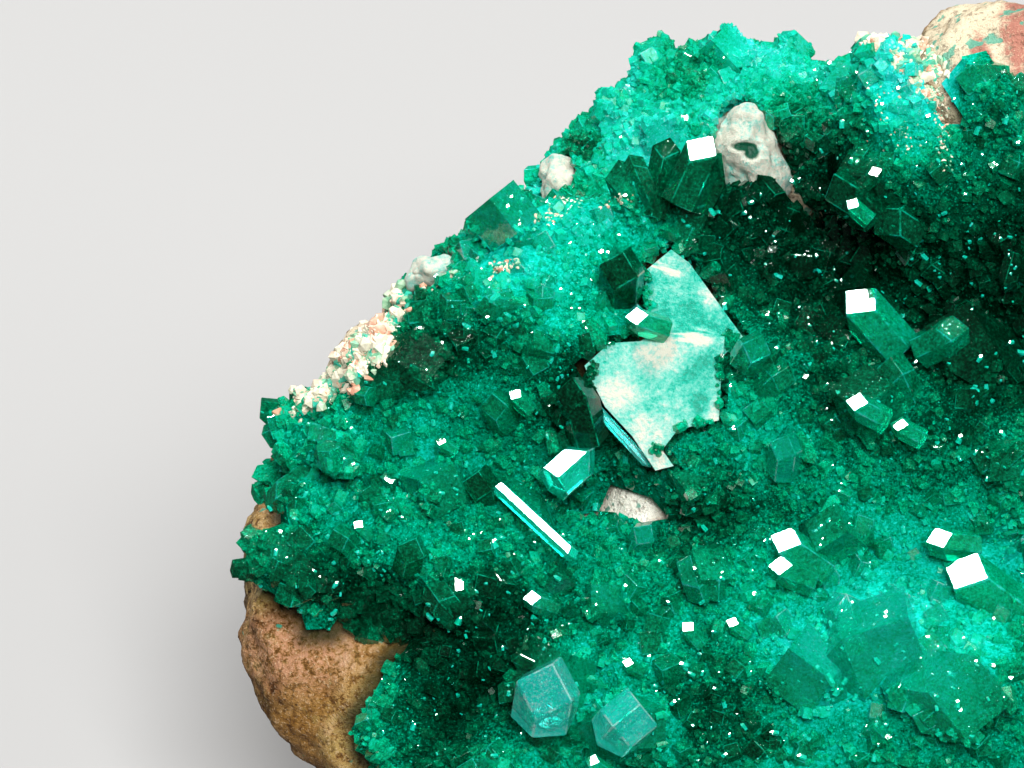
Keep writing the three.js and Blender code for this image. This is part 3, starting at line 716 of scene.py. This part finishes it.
seats = [surface_of(piece) for piece in (druse_bed, rock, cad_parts["calcite_plate"])]
shapes = []
for middle_across, middle_up, wide, high, count, widest in CREEPING:
    for _ in range(count):
        angle, reach = chance.uniform(0, 2 * pi), chance.random() ** 0.5
        across = middle_across + wide * reach * cos(angle)
        up = middle_up + high * reach * sin(angle)
        hit, _ = seen_place(seats, across, up)
        if not hit:
            continue
        axis = (hit[1] + Vector(chance.normal(0, CREEPING_LEAN, 3))).normalized()
        width = widest * (0.33 + 0.67 * chance.random() ** 2) * MM
        side = Vector(turned_about(np.array(axis)[None], chance.uniform(0, pi, 1))[0])
        tint = tint_at([hit[0]], chance)[0]
        root = hit[0] - axis * CREEPING_SUNK * width
        shapes.append((root, axis, side, width, CREEPING_LENGTH * width, tint))
finish_crust(grow_shapes("druse_creeping", SHARP_CRYSTAL, shapes), fine_green)

seats = [surface_of(piece) for piece in (druse_bed, druse_medium, druse_small)]
shapes = []
while len(shapes) < GLINTS:
    hit, sight = seen_place(seats, chance.uniform(*GLINTS_ACROSS), chance.uniform(*GLINTS_UP))
    if hit:
        place = hit[0]
        normal = (half_way(place, sight) + Vector(chance.normal(0, GLINT_STRAY, 3))).normalized()
        side = (LEAST_GLINT + GLINT_SPREAD * chance.random() ** 2) * MM
        raised = place - sight * GLINT_LIFT * side
        turn = chance.uniform(0, 2 * pi)
        shapes.append((*with_bright_tip(raised, normal, side, turn), GLINT_TINT))
finish_crust(grow_shapes("druse_glints", SHARP_CRYSTAL, shapes), fine_green)

# ---- Ridge crust ------------------------------------------------------------------------------------
# Behind a trench a second crust of the same dioptase covers the ridge. Its crystals are smaller and
# thinner, which makes it a brighter turquoise.

# The middle and radii of each darker patch on the display face.
RIDGE_SHADE = [(13.3, 10.6, 1.5, 2.6), (12.2, 8.6, 2, 1.2), (3.4, 11, 0.8, 0.6)]
RIDGE_TINT, RIDGE_DRIFT, RIDGE_DRIFTS_PER_METRE, SHADE_CHANGE = 0.56, 0.3, 300, -0.45

ridge_bed = copy_of("dioptase_ridge", "ridge_bed")
chance = np.random.default_rng(12)


def ridge_tint(points, chance, spread=0.06):
    """The tints of crystals in these places on the ridge."""
    drift = np.array([noise.noise(Vector(p) * RIDGE_DRIFTS_PER_METRE) for p in points])
    tints = RIDGE_TINT + RIDGE_DRIFT * drift + SHADE_CHANGE * share_in(points, RIDGE_SHADE)
    return np.clip(tints + chance.normal(0, spread, len(points)), 0, 1)


keep_values(ridge_bed, "tint", ridge_tint(points_of(ridge_bed), chance, 0.02))
far_bed = Bed(ridge_bed)
ridge_medium = crystals_on(
    far_bed, "ridge_medium", 90, WORN_CRYSTAL, chance,
    widths=(0.7, 1.3), sunk=0.72, lean=0.7, stretch=(1.1, 1.7), tint=ridge_tint,
)
ridge_small = crystals_on(
    far_bed, "ridge_small", 1500, SHARP_CRYSTAL, chance,
    widths=(0.3, 0.7), sunk=0.6, lean=0.9, stretch=(1.1, 1.8), tint=ridge_tint,
)
ridge_fine = crystals_on(
    far_bed, "ridge_fine", 3000, SHARP_CRYSTAL, chance,
    widths=(0.15, 0.35), sunk=0.45, lean=1.0, stretch=(1.1, 1.8), tint=ridge_tint,
)
for piece in (ridge_bed, ridge_medium, ridge_small, ridge_fine):
    finish_crust(piece, fine_green, "dioptase_ridge")

# ---- Dolomite grains --------------------------------------------------------------------------------
# Where the crust is thin, cream and pink grains of dolomite stand between its crystals: along the rim,
# in flecks behind the crest and over the ridge and the shoulder.

# Across and up at both ends of each streak of grains, how far they stray, how many, and their width.
GRAIN_STREAKS = [
    (-9.6, -0.9, -7.3, 0.8, 0.35, 330, 0.6), (-7.3, 0.8, -5.9, 2.4, 0.42, 360, 0.65),
    (-5.9, 2.4, -5.0, 4.1, 0.3, 200, 0.6), (-4.3, 4.5, -2.8, 5.3, 0.25, 80, 0.36),
    (-1.0, 5.0, 0.2, 5.5, 0.14, 50, 0.26), (1.3, 7.4, 2.9, 8.2, 0.22, 90, 0.28),
    (4.0, 8.1, 5.3, 8.4, 0.12, 50, 0.24), (15.8, 15.6, 16.9, 15.1, 0.2, 110, 0.65),
    (16.8, 16.2, 17.4, 16.0, 0.15, 50, 0.55), (17.6, 15.4, 18.4, 15.2, 0.25, 80, 0.6),
    (17.0, 14.8, 18.4, 13.7, 0.14, 110, 0.6), (18.5, 14.6, 19.2, 14.0, 0.2, 70, 0.55),
    (18.3, 13.2, 19.2, 12.9, 0.15, 60, 0.5), (19.0, 13.4, 19.6, 9.8, 0.2, 120, 0.2),
    (16.4, 12.8, 18.0, 11.0, 0.7, 60, 0.16),
]
BUMP_WIDTH, BUMP_DEPTH, GRAIN_SUNK = 0.35, 0.8, 0.3  # in grain widths
GRAIN_SIZES = (0.5, 1.4)  # the least and most width, as a share of the streak's
GRAIN_COLOURS = [
    (0.0, (0.02, 0.36, 0.25)), (0.22, (0.20, 0.42, 0.25)), (0.4, (0.60, 0.58, 0.44)),
    (0.75, (0.62, 0.54, 0.41)), (0.95, (0.50, 0.25, 0.16)),
]


def model_grain():
    """Models one rough grain, a unit wide. Gives its corners and its faces."""
    bpy.ops.object.select_all(action="DESELECT")
    bpy.ops.mesh.primitive_ico_sphere_add(subdivisions=1, radius=0.5)
    grain = bpy.context.object
    texture = bpy.data.textures.new("grain", "CLOUDS")
    texture.noise_scale = BUMP_WIDTH
    finish_with(
        grain, "DISPLACE", "rough", texture=texture, texture_coords="LOCAL", strength=BUMP_DEPTH,
        mid_level=0.5,
    )
    corners = points_of(grain).astype(float)
    faces = [tuple(face.vertices) for face in grain.data.polygons]
    bpy.data.objects.remove(grain)
    return corners, faces


chance = np.random.default_rng(13)
shown = [surface_of(piece) for piece in (rock, druse_bed, druse_medium, ridge_bed)]
grain_corners, grain_faces = model_grain()
points, faces, hues = [], [], []
for across, up, to_across, to_up, stray, count, width in GRAIN_STREAKS:
    for _ in range(count):
        along, off = chance.random(), chance.normal(0, stray, 2)
        at_across = across + (to_across - across) * along + off[0]
        at_up = up + (to_up - up) * along + off[1]
        hit, _ = seen_place(shown, at_across, at_up)
        if not hit:
            continue
        place, normal, _, _ = hit
        size = width * chance.uniform(*GRAIN_SIZES) * MM
        axis = unit(np.array(normal)[None] + chance.normal(0, 0.3, (1, 3)))
        side = turned_about(axis, chance.uniform(0, 2 * pi, 1))
        basis = np.stack([side[0], np.cross(axis[0], side[0]), axis[0]])
        step = len(points) * len(grain_corners)
        points.append(grain_corners * size @ basis + np.array(place) - axis[0] * size * GRAIN_SUNK)
        faces += [tuple(step + corner for corner in face) for face in grain_faces]
        hues += [chance.random()] * len(grain_corners)
mesh = bpy.data.meshes.new("dolomite_grains")
mesh.from_pydata(np.concatenate(points).tolist(), [], faces)
grains = bpy.data.objects.new("dolomite_grains", mesh)
bpy.context.collection.objects.link(grains)
keep_values(grains, "hue", hues)
sugary = Finish("cream_grains")
hue = sugary.attribute("hue") + (sugary.noise(1500, 3, 0.6) - 0.5) * 0.5
sugary.feed(sugary.shader, {
    "Base Color": sugary.ramp(hue, GRAIN_COLOURS), "Roughness": 0.55,
    "Normal": sugary.bump(sugary.noise(5000, 3, 0.6), 0.06 * MM, 0.8),
})
grains.data.materials.append(sugary.material)
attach(grains, "root")

# ---- Calcite ----------------------------------------------------------------------------------------
# White translucent calcite fills gaps between the crystals. The largest piece is two sheets that show
# the flat faces on which it splits, milky in clouds and nearly clear between them.

# The middle and radii of each cloud and each clear patch on the display face.
CLOUDS = [
    (6.5, 1.3, 1.2, 0.7), (4.6, -0.5, 0.9, 0.9), (5.9, -2.3, 1.1, 1.3), (6.4, -3.3, 0.5, 0.7),
    (8.0, 2.0, 0.75, 0.4), (8.9, 3.8, 0.5, 0.7), (6.8, 5.1, 0.6, 0.4), (8.9, -1.2, 0.3, 0.6),
]
CLEAR_PATCHES = [
    (8.4, 0.7, 0.9, 0.7), (8.3, -0.8, 0.6, 0.4), (6.3, -1.1, 0.6, 0.4), (8.4, 3.0, 1.2, 0.7),
    (6.8, 3.2, 1.0, 0.7), (9.6, 2.2, 0.5, 0.6),
]
HOLLOW = [(10.7, 10.85, 0.6, 0.2), (10.95, 10.6, 0.34, 0.34)]  # a gap in the ridge's calcite, dented and filled with painted shade
HOLLOW_DEPTH = 0.25 * MM
STREAKS_AT = [(6.8, 5.1, 0.7, 0.45), (7.9, 2.1, 0.9, 0.35)]
# How milky the plate is, what a cloud adds to it, what a clear patch takes off, and the other pieces.
PLATE_MILK, CLOUD_MILK, CLEAR_MILK, LUMP_MILK = 0.5, 0.42, 0.28, 0.95
CALCITE_GREENS = [
    (0.1, (0.0, 0.24, 0.16)), (0.3, (0.0, 0.34, 0.245)), (0.55, (0.10, 0.43, 0.34)),
    (0.78, (0.27, 0.46, 0.39)), (1.0, (0.50, 0.50, 0.41)),
]
# Painted shade: the dark green laid in the gap in the ridge's calcite.
PAINTED_HOLLOW_SHADE = (0.004, 0.07, 0.035, 1)
LUMP_GRAIN, LUMP_DEPTH = 1.3 * MM, 0.9 * MM


def calcite_piece(node, milk, smoothing, levels):
    """A node's shape with finer faces. Milk gives how milky it is at its points, from 0 to 1."""
    piece = copy_of(node, node + "_face")
    finish_with(
        piece, "SUBSURF", "finer", subdivision_type=smoothing, levels=levels, render_levels=levels,
    )
    keep_values(piece, "milk", milk(points_of(piece)))
    keep_values(piece, "streaks", share_in(points_of(piece), STREAKS_AT))
    keep_values(piece, "hollow", share_in(points_of(piece), HOLLOW))
    piece.data.materials.append(white.material)
    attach(piece, "root")
    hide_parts(node)
    return piece


white = Finish("calcite")
veil = white.noise(600, 5, 0.7)
thread = white.noise(1700, 4, 0.75)
frost = white.noise(7000, 3, 0.7)
run = white.node("ShaderNodeMapping", {}, {
    "Vector": white.object_place, "Rotation": (0, 0.5, 0), "Scale": (400, 400, 5200),
})
streaks = white.node("ShaderNodeTexNoise", {}, {"Vector": run, "Scale": 1.0, "Detail": 2})
streaks = white.step(streaks, 0.42, 0.6)
milk = white.attribute("milk") + (veil - 0.5) * 1.1 + (thread - 0.5) * 1.2 + (frost - 0.5) * 1.0
milk = milk + white.attribute("streaks") * (streaks - 0.3)
# Painted shade darkens the calcite in the gap of the ridge's lump.
hollow_shade = white.step(white.attribute("hollow") + (veil - 0.5) * 1.2, 0.35, 0.75)
white.feed(white.shader, {
    "Base Color": white.mix(hollow_shade, white.ramp(milk, CALCITE_GREENS), PAINTED_HOLLOW_SHADE),
    "Roughness": 0.3, "IOR": 1.6, "Transmission Weight": 0.2, "Specular IOR Level": 0.0,
    "Subsurface Weight": 0.5, "Subsurface Radius": (0.6, 1.0, 0.9), "Subsurface Scale": 0.12 * MM,
    "Normal": white.bump(thread + veil + frost * 0.3, 0.12 * MM, 0.8),
})


def plate_milk(points):
    """How milky the plate is at these points."""
    cloudy, clear = share_in(points, CLOUDS), share_in(points, CLEAR_PATCHES)
    return PLATE_MILK + CLOUD_MILK * cloudy - CLEAR_MILK * clear


def lump_milk(points):
    """How milky the other pieces are, the same all over."""
    return np.full(len(points), LUMP_MILK)


calcite_piece("calcite_plate", plate_milk, "SIMPLE", 4)
for node in ("calcite_ridge", "calcite_knob", "calcite_rim"):
    lump = calcite_piece(node, lump_milk, "CATMULL_CLARK", 3)
    texture = bpy.data.textures.new(node, "CLOUDS")
    texture.noise_scale = LUMP_GRAIN
    finish_with(
        lump, "DISPLACE", "lumpy", texture=texture, texture_coords="LOCAL", strength=LUMP_DEPTH,
        mid_level=0.55,
    )
    points = points_of(lump)
    place_points(lump, points - share_in(points, HOLLOW)[:, None] * np.array(OUT) * HOLLOW_DEPTH)

# ---- Studio -----------------------------------------------------------------------------------------
# The floor is plain pale paper. A small key light stands above and behind the specimen, and broad fill
# light comes from the front and the side.

FLOOR_SIZE = 3
PAPER_GREY = (0.30, 0.297, 0.292, 1)
SKY_BLUE, SKY_STRENGTH = (0.9, 0.95, 1, 1), 0.03

bpy.ops.object.select_all(action="DESELECT")
bpy.ops.mesh.primitive_plane_add(size=FLOOR_SIZE, location=(0, 0, 0))
floor = bpy.context.object
floor.name = "floor"
paper = Finish("paper")
paper.feed(paper.shader, {"Base Color": PAPER_GREY, "Roughness": 0.9})
floor.data.materials.append(paper.material)
floor.visible_glossy = False


def softbox(name, place, size, power):
    """A square light that faces the specimen, with its size in metres and its power in watts."""
    bpy.ops.object.select_all(action="DESELECT")
    bpy.ops.object.light_add(type="AREA", location=place)
    light = bpy.context.object
    light.name = name
    light.rotation_mode = "QUATERNION"
    light.rotation_quaternion = (place - display_middle).to_track_quat("Z", "Y")
    light.data.size = size
    light.data.energy = power
    return light


softbox("key", KEY_PLACE, size=0.07, power=2.4)
for name, offset, power in (("fill", (0.08, -0.30, 0.50), 7.0), ("side", (0.45, -0.1, 0.3), 1.2)):
    light = softbox(name, display_middle + Vector(offset), size=0.3, power=power)
    light.visible_glossy = False

world = bpy.data.worlds.new("studio")
world.use_nodes = True
sky = world.node_tree.nodes["Background"]
sky.inputs["Color"].default_value = SKY_BLUE
sky.inputs["Strength"].default_value = SKY_STRENGTH
bpy.context.scene.world = world
bpy.context.scene.view_settings.view_transform = "Standard"
